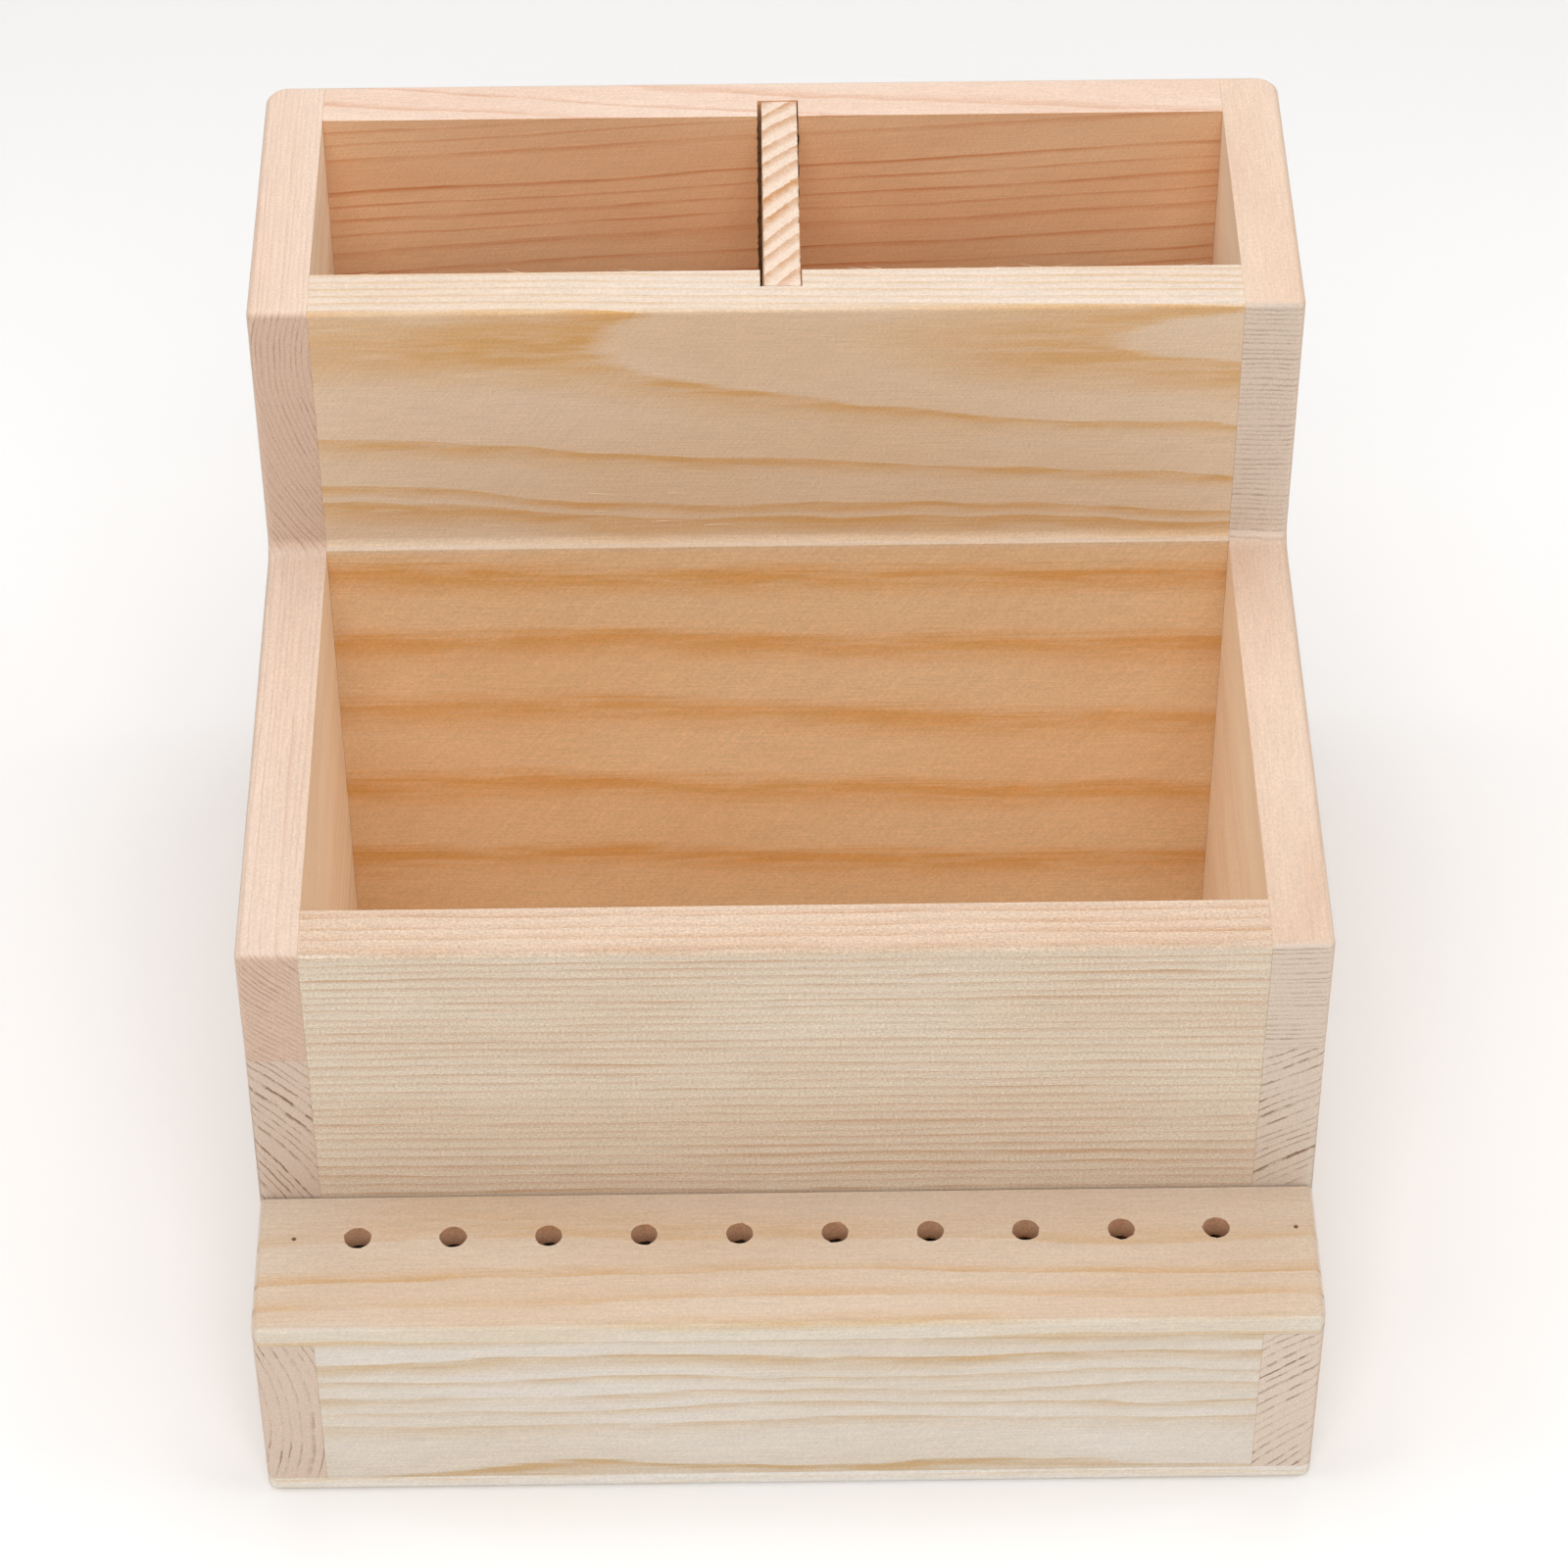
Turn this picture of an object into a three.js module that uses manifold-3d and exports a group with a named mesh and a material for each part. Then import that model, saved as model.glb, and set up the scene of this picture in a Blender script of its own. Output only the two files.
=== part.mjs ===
// A stepped tool caddy for a hobby bench, made of pine boards that are glued and pinned together.
//
// Three tiers rise from front to back. The low tier is a hollow trough under a thin shelf that is
// drilled with a row of tool holes. The middle tier is one wide open bin. The rear tier is a tall
// bin, which a loose board that stands in two upright grooves parts into two.
//
// Millimetres, +Z up. The front faces -Y, and the origin is the middle of the underside.

import * as THREE from "three";
import { mergeVertices } from "three/addons/utils/BufferGeometryUtils.js";
import Module from "manifold-3d";

// Driving dimensions
const WIDTH = 200;
const DEPTH = 214;
const HEIGHT = 174;
const BOARD = 11.5; // thickness of every upright board
const BASE_THICKNESS = 4;

const SHELF_THICKNESS = 5;
const SHELF_TOP = 48.5; // height of the low tier
const SHELF_DEPTH = 32.5; // from the front to the middle tier's face
const MIDDLE_RIM = 114.5; // height of the middle tier
const REAR_SETBACK = 143; // from the front to the rear tier's face

const HOLE_COUNT = 10;
const HOLE_PITCH = 18;
const HOLE_RADIUS = 2.5;

const STAVE_JOINT = 86.5; // height of the glue line in both side panels
const COVE_RADIUS = 3; // where the sanding drum turned at the foot of the rear tier
const LEDGE = 1.25; // how far the unsanded lower face of the riser stands proud

const DIVIDER_THICKNESS = 7;
const GROOVE_WIDTH = 8;
const GROOVE_DEPTH = 5;
const GROOVE_CENTRE = 1; // the grooves are a little right of the middle
const DIVIDER_GAP = 0.25; // at the divider's right face, its two ends and its foot

const EASE = 1.25; // rounding along the outer edges of both side panels
const RIM_RADIUS = 1.5; // rounding along the front edge of each rim
const TOP_REAR_RADIUS = 2;
const UNDERSIDE_RADIUS = 1.75;
const FRONT_CORNER_RADIUS = 2; // upright corners, seen from above
const REAR_CORNER_RADIUS = 4.5;

const PIN_RADIUS = 0.35; // headless wire pins
const PIN_TIP = 1;
const PIN_CLEARANCE = 0.1;
const PIN_SET = 0.5; // how deep each pin is punched below the surface
const PIN_SIDES = 8;
const SHELF_PIN_LENGTH = 18;
const BASE_PIN_LENGTH = 15;
const SIDE_PIN_LENGTH = 24;

// Places that follow from them
const FRONT = -DEPTH / 2;
const BACK = DEPTH / 2;
const INNER = WIDTH / 2 - BOARD; // inner face of each side panel
const MIDDLE_FACE = FRONT + SHELF_DEPTH;
const REAR_FACE = FRONT + REAR_SETBACK;
const SHELF_UNDERSIDE = SHELF_TOP - SHELF_THICKNESS;
const TROUGH_MIDDLE = (FRONT + BOARD + MIDDLE_FACE) / 2; // where the tool holes are drilled
const REAR_BIN_FRONT = REAR_FACE + BOARD;
const REAR_BIN_BACK = BACK - BOARD;

const wasm = await Module();
wasm.setup();

const box3 = (...sixNumbers) =>
  new THREE.Box3(new THREE.Vector3(...sixNumbers.slice(0, 3)), new THREE.Vector3(...sixNumbers.slice(3)));

// A closed geometry as a solid that can be cut.
function solidOf(geometry) {
  const bare = geometry.clone();
  bare.deleteAttribute("normal");
  bare.deleteAttribute("uv");
  const merged = mergeVertices(bare, 1e-4);
  return new wasm.Manifold(
    new wasm.Mesh({
      numProp: 3,
      vertProperties: merged.attributes.position.array,
      triVerts: new Uint32Array(merged.index.array),
    }),
  );
}

function geometryOf(solid) {
  const mesh = solid.getMesh();
  const geometry = new THREE.BufferGeometry();
  geometry.setAttribute("position", new THREE.BufferAttribute(mesh.vertProperties, 3));
  geometry.setIndex(new THREE.BufferAttribute(mesh.triVerts, 1));
  return geometry;
}

function block(box) {
  const size = box.getSize(new THREE.Vector3());
  const centre = box.getCenter(new THREE.Vector3());
  const geometry = new THREE.BoxGeometry(size.x, size.y, size.z);
  return solidOf(geometry.translate(centre.x, centre.y, centre.z));
}

// A closed outline of upright and level runs, with each corner [x, y, radius] rounded by an arc.
function roundedOutline(corners) {
  const shape = new THREE.Shape();
  corners.forEach(([x, y, radius], i) => {
    const at = new THREE.Vector2(x, y);
    const before = new THREE.Vector2(...corners.at(i - 1));
    const after = new THREE.Vector2(...corners[(i + 1) % corners.length]);
    const into = at.clone().sub(before).normalize().multiplyScalar(radius);
    const out = after.clone().sub(at).normalize().multiplyScalar(radius);
    const start = at.clone().sub(into);
    const end = at.clone().add(out);
    if (i === 0) shape.moveTo(start.x, start.y);
    else shape.lineTo(start.x, start.y);
    if (radius === 0) return;
    const centre = start.clone().add(out);
    const angleTo = (p) => Math.atan2(p.y - centre.y, p.x - centre.x);
    shape.absarc(centre.x, centre.y, radius, angleTo(start), angleTo(end), into.cross(out) < 0);
  });
  return shape;
}

// The whole caddy as one block, with its outer edges already rounded: it was sanded after it was
// glued up, so each outer board takes its rounded edges from this block.
function sandedBlock() {
  const profile = roundedOutline([
    [FRONT, 0, UNDERSIDE_RADIUS],
    [BACK, 0, UNDERSIDE_RADIUS],
    [BACK, HEIGHT, TOP_REAR_RADIUS],
    [REAR_FACE, HEIGHT, RIM_RADIUS],
    [REAR_FACE, MIDDLE_RIM, COVE_RADIUS],
    [MIDDLE_FACE, MIDDLE_RIM, RIM_RADIUS],
    [MIDDLE_FACE, SHELF_TOP, 0],
    [FRONT, SHELF_TOP, RIM_RADIUS],
  ]);
  const length = WIDTH - 2 * EASE;
  const alongWidth = new THREE.ExtrudeGeometry(profile, {
    depth: length,
    curveSegments: 5,
    bevelSize: EASE,
    bevelOffset: -EASE,
    bevelThickness: EASE,
    bevelSegments: 3,
  });
  alongWidth.translate(0, 0, -length / 2);
  const [x, y, z] = [0, 1, 2].map((i) => new THREE.Vector3().setComponent(i, 1));
  alongWidth.applyMatrix4(new THREE.Matrix4().makeBasis(y, z, x));

  const plan = roundedOutline([
    [-WIDTH / 2, FRONT, FRONT_CORNER_RADIUS],
    [WIDTH / 2, FRONT, FRONT_CORNER_RADIUS],
    [WIDTH / 2, BACK, REAR_CORNER_RADIUS],
    [-WIDTH / 2, BACK, REAR_CORNER_RADIUS],
  ]);
  const upright = new THREE.ExtrudeGeometry(plan, {
    depth: HEIGHT,
    curveSegments: 5,
    bevelEnabled: false,
  });
  return solidOf(alongWidth).intersect(solidOf(upright));
}

const pine = (colour) =>
  new THREE.MeshStandardMaterial({ color: colour, roughness: 0.65, metalness: 0 });
const MATERIALS = {
  side: pine("#ecd2b6"),
  panel: pine("#e3cba8"),
  inner: pine("#d9b48a"),
  shelf: pine("#ebcfb0"),
  divider: pine("#efdcc0"),
  base: pine("#e2d2b8"),
  steel: new THREE.MeshStandardMaterial({ color: "#6f6a64", roughness: 0.45, metalness: 1 }),
};

const caddy = new THREE.Group();
const carcass = new THREE.Group();
caddy.add(carcass);

// Puts a solid, given in the caddy's frame, into a mesh that stands at the solid's own middle.
function place(parent, name, solid, box, material) {
  const middle = box.getCenter(new THREE.Vector3());
  const geometry = geometryOf(solid).translate(-middle.x, -middle.y, -middle.z);
  geometry.computeVertexNormals();
  const mesh = new THREE.Mesh(geometry, material);
  mesh.name = name;
  mesh.position.copy(middle);
  parent.add(mesh);
}

// Pins. Each has its head's place on the surface, the way it points, and its length.
const UP = new THREE.Vector3(0, 1, 0); // a turned profile's own axis
const pins = [];

function pinAt(name, x, y, z, pointing, length) {
  pins.push({
    name,
    head: new THREE.Vector3(x, y, z).addScaledVector(pointing, PIN_SET),
    pointing,
    length,
  });
}

function placeAlong(object, pin) {
  object.position.copy(pin.head);
  object.quaternion.setFromUnitVectors(UP, pin.pointing.clone().negate());
  return object;
}

function pinHole(pin) {
  const length = PIN_SET * 2 + pin.length + PIN_CLEARANCE;
  const radius = PIN_RADIUS + PIN_CLEARANCE;
  const bore = new THREE.CylinderGeometry(radius, radius, length, PIN_SIDES);
  bore.translate(0, PIN_SET * 2 - length / 2, 0);
  const placed = placeAlong(new THREE.Object3D(), pin);
  placed.updateMatrix();
  return solidOf(bore.applyMatrix4(placed.matrix));
}

const DOWN = new THREE.Vector3(0, 0, -1);
const UPWARD = new THREE.Vector3(0, 0, 1);
pinAt("shelf_pin_left", -93, TROUGH_MIDDLE, SHELF_TOP, DOWN, SHELF_PIN_LENGTH);
pinAt("shelf_pin_right", 96, TROUGH_MIDDLE, SHELF_TOP, DOWN, SHELF_PIN_LENGTH);

const SIDES = [
  { side: "left", outward: -1 },
  { side: "right", outward: 1 },
];
const CROSS_PANEL_PINS = [
  { panel: "low_front", y: FRONT + BOARD / 2, heights: [14, 34] },
  { panel: "middle_front", y: MIDDLE_FACE + BOARD / 2, heights: [30, 102] },
  { panel: "riser", y: REAR_FACE + BOARD / 2, heights: [20, 76, 158] },
  { panel: "back", y: BACK - BOARD / 2, heights: [20, 76, 158] },
];
for (const { side, outward } of SIDES) {
  const inward = new THREE.Vector3(-outward, 0, 0);
  for (const { panel, y, heights } of CROSS_PANEL_PINS)
    heights.forEach((z, i) =>
      pinAt(`${panel}_pin_${side}_${i + 1}`, (outward * WIDTH) / 2, y, z, inward, SIDE_PIN_LENGTH),
    );
  [-80, 0, 80].forEach((y, i) =>
    pinAt(`base_pin_${side}_${i + 1}`, outward * (INNER + BOARD / 2), y, 0, UPWARD, BASE_PIN_LENGTH),
  );
}
const pinHoles = pins.map(pinHole);

// A board is the part of the sanded block inside its own box, less what is cut from it.
const whole = sandedBlock();

function board(name, box, material, cuts = []) {
  const rough = whole.intersect(block(box));
  const cut = [...cuts, ...pinHoles].reduce((rest, tool) => rest.subtract(tool), rough);
  place(carcass, name, cut, box, material);
}

const ABOVE = HEIGHT + 1;
board("base_board", box3(-WIDTH / 2, FRONT, 0, WIDTH / 2, BACK, BASE_THICKNESS), MATERIALS.base);

const shelfRoom = block(box3(-WIDTH, FRONT - 1, SHELF_UNDERSIDE, WIDTH, MIDDLE_FACE, HEIGHT));
for (const { side, outward } of SIDES) {
  const near = Math.min(outward * INNER, (outward * WIDTH) / 2);
  const far = near + BOARD;
  const lower = box3(near, FRONT, BASE_THICKNESS, far, BACK, STAVE_JOINT);
  const upper = box3(near, MIDDLE_FACE, STAVE_JOINT, far, BACK, HEIGHT);
  board(`${side}_side_lower_stave`, lower, MATERIALS.side, [shelfRoom]);
  board(`${side}_side_upper_stave`, upper, MATERIALS.side);
}

const low = box3(-INNER, FRONT, BASE_THICKNESS, INNER, FRONT + BOARD, SHELF_UNDERSIDE);
board("low_front_panel", low, MATERIALS.panel);

const middle = box3(-INNER, MIDDLE_FACE, BASE_THICKNESS, INNER, MIDDLE_FACE + BOARD, MIDDLE_RIM);
board("middle_front_panel", middle, MATERIALS.panel);

const grooveLeft = GROOVE_CENTRE - GROOVE_WIDTH / 2;
const grooveRight = GROOVE_CENTRE + GROOVE_WIDTH / 2;
const grooveFront = REAR_BIN_FRONT - GROOVE_DEPTH;
const grooveBack = REAR_BIN_BACK + GROOVE_DEPTH;
const grooves = block(box3(grooveLeft, grooveFront, 0, grooveRight, grooveBack, ABOVE));

const riser = box3(-INNER, REAR_FACE - LEDGE, BASE_THICKNESS, INNER, REAR_BIN_FRONT, HEIGHT);
board("riser_panel", riser, MATERIALS.inner, [grooves]);

const back = box3(-INNER, REAR_BIN_BACK, BASE_THICKNESS, INNER, BACK, HEIGHT);
board("back_panel", back, MATERIALS.inner, [grooves]);

const holes = Array.from({ length: HOLE_COUNT }, (_, i) => {
  const drill = new THREE.CylinderGeometry(HOLE_RADIUS, HOLE_RADIUS, 3 * SHELF_THICKNESS, 24);
  drill.rotateX(Math.PI / 2);
  drill.translate((i - (HOLE_COUNT - 1) / 2) * HOLE_PITCH, TROUGH_MIDDLE, SHELF_TOP);
  return solidOf(drill);
});
const shelf = box3(-WIDTH / 2, FRONT, SHELF_UNDERSIDE, WIDTH / 2, MIDDLE_FACE, SHELF_TOP);
board("tool_shelf", shelf, MATERIALS.shelf, holes);

// The divider stands against the right wall of its grooves and lifts straight out.
const dividerRight = grooveRight - DIVIDER_GAP;
const dividerBox = box3(
  dividerRight - DIVIDER_THICKNESS,
  grooveFront + DIVIDER_GAP,
  BASE_THICKNESS + DIVIDER_GAP,
  dividerRight,
  grooveBack - DIVIDER_GAP,
  HEIGHT,
);
place(caddy, "divider", block(dividerBox), dividerBox, MATERIALS.divider);

for (const pin of pins) {
  const profile = [
    new THREE.Vector2(0, -pin.length),
    new THREE.Vector2(PIN_RADIUS, PIN_TIP - pin.length),
    new THREE.Vector2(PIN_RADIUS, 0),
    new THREE.Vector2(0, 0),
  ];
  const mesh = new THREE.Mesh(new THREE.LatheGeometry(profile, PIN_SIDES), MATERIALS.steel);
  mesh.name = pin.name;
  carcass.add(placeAlong(mesh, pin));
}

export default caddy;
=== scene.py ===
"""Gives a stepped pine tool caddy its finished boards, wood grain, pins and studio.

Every board is drawn out from its outline, sanded round on the outside, and cut where pins, tool
holes or the divider go through it. Its pine is a solid pattern of growth rings about the board's
own pith, so long grain and end grain agree at every edge. Only the riser's rings are laid out
otherwise, as level bands and parabolas.
"""

import math
import random

import bmesh
import bpy
from bpy.props import FloatProperty, FloatVectorProperty, IntProperty, PointerProperty
from mathutils import Matrix, Vector


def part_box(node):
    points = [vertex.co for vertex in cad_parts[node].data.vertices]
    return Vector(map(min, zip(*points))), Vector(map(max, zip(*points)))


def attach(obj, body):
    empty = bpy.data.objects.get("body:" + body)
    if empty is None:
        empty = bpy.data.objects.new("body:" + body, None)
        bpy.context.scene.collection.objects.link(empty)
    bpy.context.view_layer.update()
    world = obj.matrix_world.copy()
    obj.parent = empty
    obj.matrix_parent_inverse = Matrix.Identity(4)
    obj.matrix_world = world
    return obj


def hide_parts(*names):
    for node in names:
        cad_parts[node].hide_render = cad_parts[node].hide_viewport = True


bl_info = {
    "name": "Stepped Tool Caddy",
    "version": (1, 0, 0),
    "blender": (4, 5, 0),
    "location": "View3D > Sidebar > Tool Caddy",
    "description": "Builds the boards, wood grain and studio of a stepped pine tool caddy",
    "category": "Object",
}

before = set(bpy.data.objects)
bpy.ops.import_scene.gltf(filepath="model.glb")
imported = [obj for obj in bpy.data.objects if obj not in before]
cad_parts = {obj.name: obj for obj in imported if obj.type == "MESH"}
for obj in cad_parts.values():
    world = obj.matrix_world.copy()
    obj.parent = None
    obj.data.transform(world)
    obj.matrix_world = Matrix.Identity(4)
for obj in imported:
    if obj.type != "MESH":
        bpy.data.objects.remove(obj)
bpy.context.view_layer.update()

MM = 0.001
X, Y, Z = (Vector(axis) for axis in ((1, 0, 0), (0, 1, 0), (0, 0, 1)))
SAME_PLACE = 0.02 * MM  # two places closer than this are one place
PIN_CLEARANCE = 0.1 * MM  # at each end of a pin
PIN_SINKING = 1 * MM  # half of how far a pin's hole runs on past its head


def linear(code):
    """An sRGB hex colour as the linear colour that Blender works in."""
    parts = [int(code[i : i + 2], 16) / 255 for i in (1, 3, 5)]
    return [c / 12.92 if c <= 0.04045 else ((c + 0.055) / 1.055) ** 2.4 for c in parts] + [1.0]


def length_setting(name, description, millimetres):
    return FloatProperty(
        name=name, description=description, default=millimetres * MM, min=0, unit="LENGTH", precision=5
    )


def colour_setting(name, description, code):
    return FloatVectorProperty(
        name=name, description=description, default=linear(code), size=4, subtype="COLOR", min=0, max=1
    )


class CaddySizes(bpy.types.PropertyGroup):
    """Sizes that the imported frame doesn't say."""

    ease: length_setting("Eased edge", "Rounding of the sanded outer edges", 1.4)
    front_corner: length_setting("Front corner", "Rounding of the low tier's upright corners", 2)
    rear_corner: length_setting("Rear corner", "Rounding of the rear upright corners", 4.5)
    underside: length_setting("Underside edge", "Rounding of the base board's lower edges", 1.7)
    arris: length_setting("Arris", "Tiny bevel that shows each joint as a fine line", 0.12)
    seam: length_setting("Seam", "Gap behind the shelf's rear edge, which shows as a dark line", 0.4)
    cove: length_setting("Cove", "Radius at the foot of the rear tier's face", 3)
    ledge: length_setting("Ledge", "How far the riser's unsanded face stands proud", 1.25)
    groove_width: length_setting("Groove width", "Width of the divider's grooves", 8)
    groove_depth: length_setting("Groove depth", "Depth of the divider's grooves", 5)
    groove_centre: FloatProperty(
        name="Groove centre", description="Sideways place of the grooves", default=1 * MM, unit="LENGTH"
    )
    hole_radius: length_setting("Tool hole radius", "Radius of each drilled hole", 2.5)
    hole_pitch: length_setting("Tool hole pitch", "Distance between drilled holes", 18)
    hole_count: IntProperty(name="Tool holes", description="Number of drilled holes", default=10, min=1)
    pin_hole_radius: length_setting("Pin hole radius", "Radius of the hole over each pin", 0.45)


class CaddyColours(bpy.types.PropertyGroup):
    """Colours that boards share, and those of the pins and the floor."""

    ochre: colour_setting("Ochre stain", "What yellow-brown late wood multiplies early wood by", "#f3d7a4")
    rosy: colour_setting("Rosy stain", "The same for the side panels' pinker late wood", "#e5cbb8")
    rust: colour_setting("Rust stain", "The same for the back panel's thin reddish late wood", "#e2ab7e")
    end_grain: colour_setting("End grain", "Pale wood where fibres end", "#e4d1bf")
    end_line: colour_setting("End grain line", "Ring lines where fibres end", "#8c6a4e")
    steel: colour_setting("Pin steel", "Bright part of the wire's mottling", "#77716a")
    dull_steel: colour_setting("Dull steel", "Dark part of the wire's mottling", "#4d4842")
    floor: colour_setting("Floor", "Plain pale floor", "#fbfaf9")


def sizes():
    return bpy.context.scene.caddy_sizes


def colours():
    return bpy.context.scene.caddy_colours


# ---------------------------------------------------------------- shapes


def edge(node, end, axis):
    """Where a CAD node starts (end 0) or stops (end 1) along an axis."""
    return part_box(node)[end][axis]


def prism(outline, normal, low, high):
    """A closed solid: an outline of (a, b) points drawn out along an axis from low to high."""
    across = [axis for axis in (X, Y, Z) if axis != normal]
    bm = bmesh.new()
    corners = [bm.verts.new(across[0] * a + across[1] * b + normal * low) for a, b in outline]
    face = bm.faces.new(corners)
    drawn = bmesh.ops.extrude_face_region(bm, geom=[face], use_keep_orig=True)
    far_end = [v for v in drawn["geom"] if isinstance(v, bmesh.types.BMVert)]
    bmesh.ops.translate(bm, verts=far_end, vec=normal * (high - low))
    bmesh.ops.recalc_face_normals(bm, faces=bm.faces)
    return bm


def cove_arc(wall, floor, radius, until=math.pi / 2, steps=8):
    """Points down a cove, from the upright wall towards the floor in front of it."""
    centre = Vector((wall - radius, floor + radius))
    turns = [until * i / steps for i in range(steps + 1)]
    return [centre + radius * Vector((math.cos(a), -math.sin(a))) for a in turns]


def near(a, b):
    return abs(a - b) < SAME_PLACE


def lies_on(face, planes):
    """Whether a flat face lies in one of the (axis, place) planes."""
    middle = face.calc_center_median()
    return any(near(middle[axis], place) and abs(face.normal[axis]) > 0.99 for axis, place in planes)


def round_edges(bm, edges, radius, segments):
    bmesh.ops.bevel(
        bm,
        geom=list(edges),
        offset=radius,
        offset_type="OFFSET",
        segments=segments,
        profile=0.5,
        affect="EDGES",
        clamp_overlap=True,
        material=-1,
    )


def corner_edges(bm, x, y):
    """Upright edges at one corner of the plan."""
    return [
        e
        for e in bm.edges
        if all(near(v.co.x, x) and near(v.co.y, y) for v in e.verts)
    ]


def sand(bm, glued, big_corners=()):
    """Rounds the outer edges of a board as a sander does, and leaves glued and inner edges crisp.

    glued holds the (axis, place) planes of the faces that aren't sanded.
    big_corners holds (x, y, radius) for upright corners that are rounder than the rest.
    """
    size = sizes()
    for x, y, radius in big_corners:
        round_edges(bm, corner_edges(bm, x, y), radius, 8)
    bm.normal_update()

    def is_outer(e):
        return not any(lies_on(f, glued) for f in e.link_faces)

    sharp = [e for e in bm.edges if e.calc_face_angle(0) > math.radians(25)]
    round_edges(bm, [e for e in sharp if is_outer(e)], size.ease, 5)
    bm.normal_update()
    crisp = [e for e in bm.edges if e.calc_face_angle(0) > math.radians(50)]
    round_edges(bm, crisp, size.arris, 2)
    bm.normal_update()


def pin_cutter(node):
    """A round cutter that clears one pin and opens its hole to the surface.

    Pins go into the shelf from above, into the base from below, and elsewhere from the sides.
    """
    low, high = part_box(node)
    middle, reach = (low + high) / 2, high - low
    if reach.z > reach.x:
        long, turn = reach.z, Matrix.Identity(4)
        outward = Z if "shelf" in node else -Z
    else:
        long, turn = reach.x, Matrix.Rotation(math.pi / 2, 4, "Y")
        outward = X if middle.x > 0 else -X
    bm = bmesh.new()
    bmesh.ops.create_cone(
        bm,
        cap_ends=True,
        segments=16,
        radius1=sizes().pin_hole_radius,
        radius2=sizes().pin_hole_radius,
        depth=2 * (long / 2 + PIN_CLEARANCE + PIN_SINKING),
        matrix=Matrix.Translation(middle + outward * PIN_SINKING) @ turn,
    )
    return bm


def pins_near(*words):
    return [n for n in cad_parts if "_pin" in n and any(n.startswith(word) for word in words)]


def finish_piece(name, bm, material, body, replaced, cutters=(), bored=None):
    """Turns a bmesh into a finished piece: cut, smooth, with its material, on its body.

    bored is a (material, test) pair: the faces that pass the test take that material instead.
    """
    mesh = bpy.data.meshes.new(name)
    bm.to_mesh(mesh)
    bm.free()
    piece = bpy.data.objects.new(name, mesh)
    bpy.context.scene.collection.objects.link(piece)
    if cutters:
        cut_away(piece, cutters)
    piece.data.materials.clear()
    piece.data.materials.append(material)
    if bored:
        piece.data.materials.append(bored[0])
    for polygon in piece.data.polygons:
        polygon.use_smooth = True
        polygon.material_index = 1 if bored and bored[1](polygon) else 0
    piece.data.set_sharp_from_angle(angle=math.radians(48))
    shading = piece.modifiers.new("even shading", "WEIGHTED_NORMAL")
    shading.keep_sharp = True
    shading.weight = 100
    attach(piece, body)
    if replaced:
        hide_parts(*replaced)
    return piece


def cut_away(piece, cutters):
    """Cuts the cutters out of a piece for good."""
    mesh = bpy.data.meshes.new("cutter")
    joined = bmesh.new()
    for cutter in cutters:
        part = bpy.data.meshes.new("cutter_part")
        cutter.to_mesh(part)
        cutter.free()
        joined.from_mesh(part)
        bpy.data.meshes.remove(part)
    joined.to_mesh(mesh)
    joined.free()
    tool = bpy.data.objects.new("cutter", mesh)
    bpy.context.scene.collection.objects.link(tool)
    cut = piece.modifiers.new("cut", "BOOLEAN")
    cut.operation = "DIFFERENCE"
    cut.solver = "EXACT"
    cut.use_self = True
    cut.object = tool
    bpy.context.view_layer.update()
    shaped = piece.evaluated_get(bpy.context.evaluated_depsgraph_get())
    result = bpy.data.meshes.new_from_object(shaped)
    piece.modifiers.clear()
    old, piece.data = piece.data, result
    bpy.data.meshes.remove(old)
    result.name = piece.name
    bpy.data.objects.remove(tool)
    bpy.data.meshes.remove(mesh)


# ---------------------------------------------------------------- pine

GRAIN_AXES = {"X": X, "Y": Y, "Z": Z}
GRAIN_TURNS = {"X": (0, 0, 0), "Y": (0, 0, math.pi / 2), "Z": (0, -math.pi / 2, 0)}
SCRATCH_SLANT = math.radians(52)  # between the fibres and the marks of the sander
STREAKS = {  # each pattern's length and width in mm, detail, roughness and place in the noise
    "slow bend": (150, 34, 2.0, 0.5, 0),
    "quick bend": (30, 7, 2.0, 0.5, 5),
    "ragged edge": (26, 0.7, 2.0, 0.5, 17),
    "patches": (45, 9, 2.0, 0.5, 11),
    "breaks": (16, 1.6, 2.0, 0.5, 13),
    "tone": (70, 16, 2.0, 0.5, 2),
    "fibre": (9, 0.34, 3.0, 0.6, 3),
    "grit": (0.55, 0.36, 2.0, 0.7, 7),
    "marks": (16, 0.5, 2.0, 0.5, 23),
    "end clumps": (400, 16, 1.0, 0.5, 31),
    "end dashes": (400, 2.6, 3.0, 0.5, 29),
    "end pores": (400, 0.32, 2.0, 0.5, 37),
    "riser drift": (95, 40, 1.0, 0.5, 4),
    "riser ripple": (34, 12, 2.0, 0.5, 9),
}
SOFTLY = {"interpolation_type": "SMOOTHSTEP"}
PAINT = {"data_type": "RGBA"}


def add(tree, kind, inputs=(), **settings):
    """Adds a shader node with its settings and links.

    Inputs come in order, or by name or number. Each is a number, a colour, a socket or a node,
    which stands for its first live output.
    """
    node = tree.nodes.new("ShaderNode" + kind)
    for key, value in settings.items():
        setattr(node, key, value)
    for key, value in inputs.items() if isinstance(inputs, dict) else enumerate(inputs):
        if isinstance(value, bpy.types.Node):
            value = next(socket for socket in value.outputs if socket.enabled)
        if isinstance(value, bpy.types.NodeSocket):
            tree.links.new(value, node.inputs[key])
        else:
            node.inputs[key].default_value = value
    return node


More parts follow.
